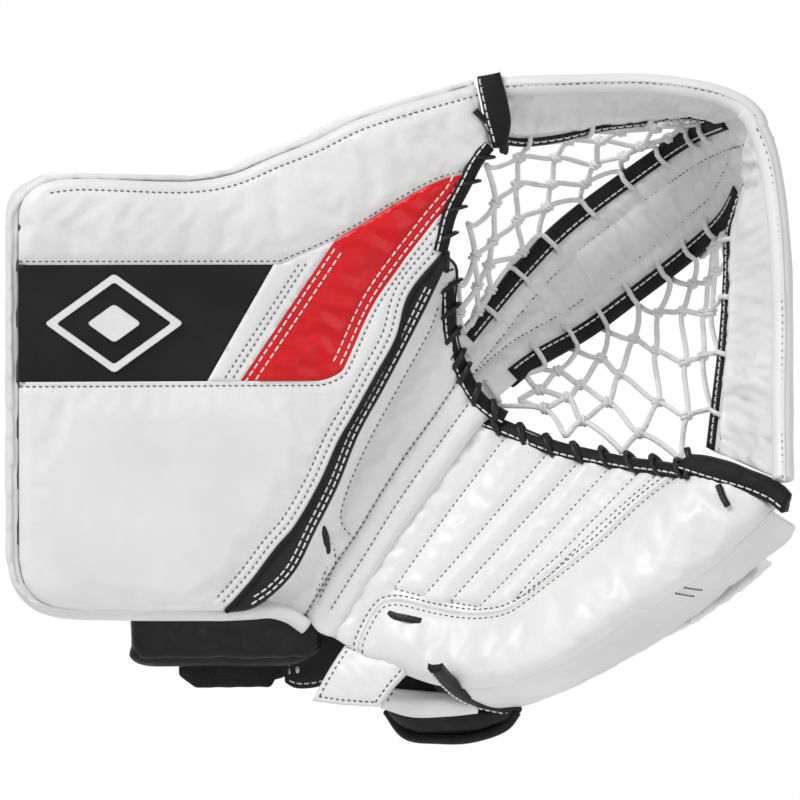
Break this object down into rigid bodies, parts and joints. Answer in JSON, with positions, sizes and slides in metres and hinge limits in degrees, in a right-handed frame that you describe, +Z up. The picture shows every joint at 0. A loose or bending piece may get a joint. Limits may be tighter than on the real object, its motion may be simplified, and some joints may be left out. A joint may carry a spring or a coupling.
{
  "type": "goalie catch glove",
  "caption": "Left-hand ice hockey goalie catch glove: flat cuff and thumb board, quilted palm, laced net pocket with a T-bar, strapped hand compartment, closing on a break.",
  "frame": {"origin": "middle of the wrist opening behind the cuff, where the hand goes in", "axes": "+Z up as the open glove is held, +X toward the finger side, -Y toward the shooter"},
  "size_m": [0.3744, 0.1583, 0.3306],
  "materials": {
    "white_leather": "smooth white synthetic leather, fine grain, semi-gloss",
    "black_leather": "black synthetic leather, semi-gloss, pebbled",
    "red_leather": "smooth red synthetic leather, glossy",
    "badge_white": "raised white moulded trim",
    "black_binding": "black folded binding with white stitching",
    "black_lace": "black waxed lace",
    "white_lace": "white waxed skate lace",
    "foam": "dense closed-cell foam",
    "stiffener": "sheet polyethylene stiffener",
    "lining": "black brushed nylon lining",
    "webbing": "black nylon strap with hook-and-loop"
  },
  "bodies": {
    "palm_side": {"quilted_palm_panel": "white_leather", "palm_border_panel": "white_leather", "palm_foam": "foam", "palm_board": "stiffener", "palm_lining": "lining", "finger_side_wall": "white_leather", "back_lining": "lining", "back_foam": "foam", "back_board": "stiffener", "back_cover": "white_leather", "side_wall_binding": "black_binding", "palm_edge_binding": "black_binding", "palm_edge_lace": "black_lace", "palm_tip_wrap": "black_binding", "tip_lace_inner": "black_lace", "tip_lace_outer": "black_lace", "heel_lace": "black_lace", "finger_loops": "lining", "wrist_strap": "webbing", "back_hand_strap": "webbing", "heel_strap_upper": "white_leather", "heel_strap_lower": "white_leather", "heel_pad": "black_binding"},
    "pocket": {"rim_roll_top": "white_leather", "rim_roll_right": "white_leather", "perimeter_band_top": "white_leather", "perimeter_band_right": "white_leather", "band_binding_top": "black_binding", "band_binding_right": "black_binding", "t_bar_front": "white_leather", "t_bar_core": "foam", "t_bar_back": "white_leather", "t_bar_binding_upper": "black_binding", "t_bar_binding_lower": "black_binding", "net_upper": "white_lace", "net_lower": "white_lace", "break_gusset_thumb": "white_leather", "break_gusset_palm": "white_leather"},
    "thumb_side": {"face_panel_upper": "white_leather", "face_panel_black": "black_leather", "face_stripe_white": "white_leather", "face_stripe_red": "red_leather", "face_panel_lower": "white_leather", "break_piping": "black_leather", "badge_frame": "badge_white", "badge_diamond": "badge_white", "cuff_side_wall": "white_leather", "cuff_foam": "foam", "cuff_board": "stiffener", "cuff_back_lining": "lining", "thumb_edge_binding": "black_binding", "thumb_edge_lace": "black_lace", "thumb_tip_wrap": "black_binding", "thumb_stall": "lining", "thumb_loop": "webbing", "wrist_bolster": "black_leather", "wrist_flap": "webbing"},
    "wrist_tab": {"wrist_strap_tab": "webbing"},
    "back_hand_tab": {"back_hand_strap_tab": "webbing"}
  },
  "joints": [
    {"name": "close_palm", "type": "hinge", "parent": "palm_side", "child": "pocket", "pos_m": [0.038, -0.045, -0.023], "axis": [0.6225, 0, 0.7826], "range_deg": [0, 40], "stiffness_Nm_per_rad": 4, "deforming": ["break_gusset_palm", "perimeter_band_right", "rim_roll_right", "band_binding_right", "net_lower"]},
    {"name": "close_thumb", "type": "hinge", "parent": "pocket", "child": "thumb_side", "pos_m": [0.038, -0.045, -0.023], "axis": [0.6225, 0, 0.7826], "range_deg": [0, 40], "stiffness_Nm_per_rad": 4, "deforming": ["break_gusset_thumb", "perimeter_band_top", "rim_roll_top", "band_binding_top", "net_upper"]},
    {"name": "wrist_tab_peel", "type": "hinge", "parent": "palm_side", "child": "wrist_tab", "pos_m": [0.05474, 0.0285, -0.02737], "axis": [0.6225, 0, 0.7826], "range_deg": [0, 70]},
    {"name": "back_hand_tab_peel", "type": "hinge", "parent": "palm_side", "child": "back_hand_tab", "pos_m": [0.07561, 0.02675, -0.00691], "axis": [0.6225, 0, 0.7826], "range_deg": [0, 70]}
  ],
  "couplings": [
    {"joint": "close_thumb", "follows": "close_palm", "ratio": 1}
  ]
}
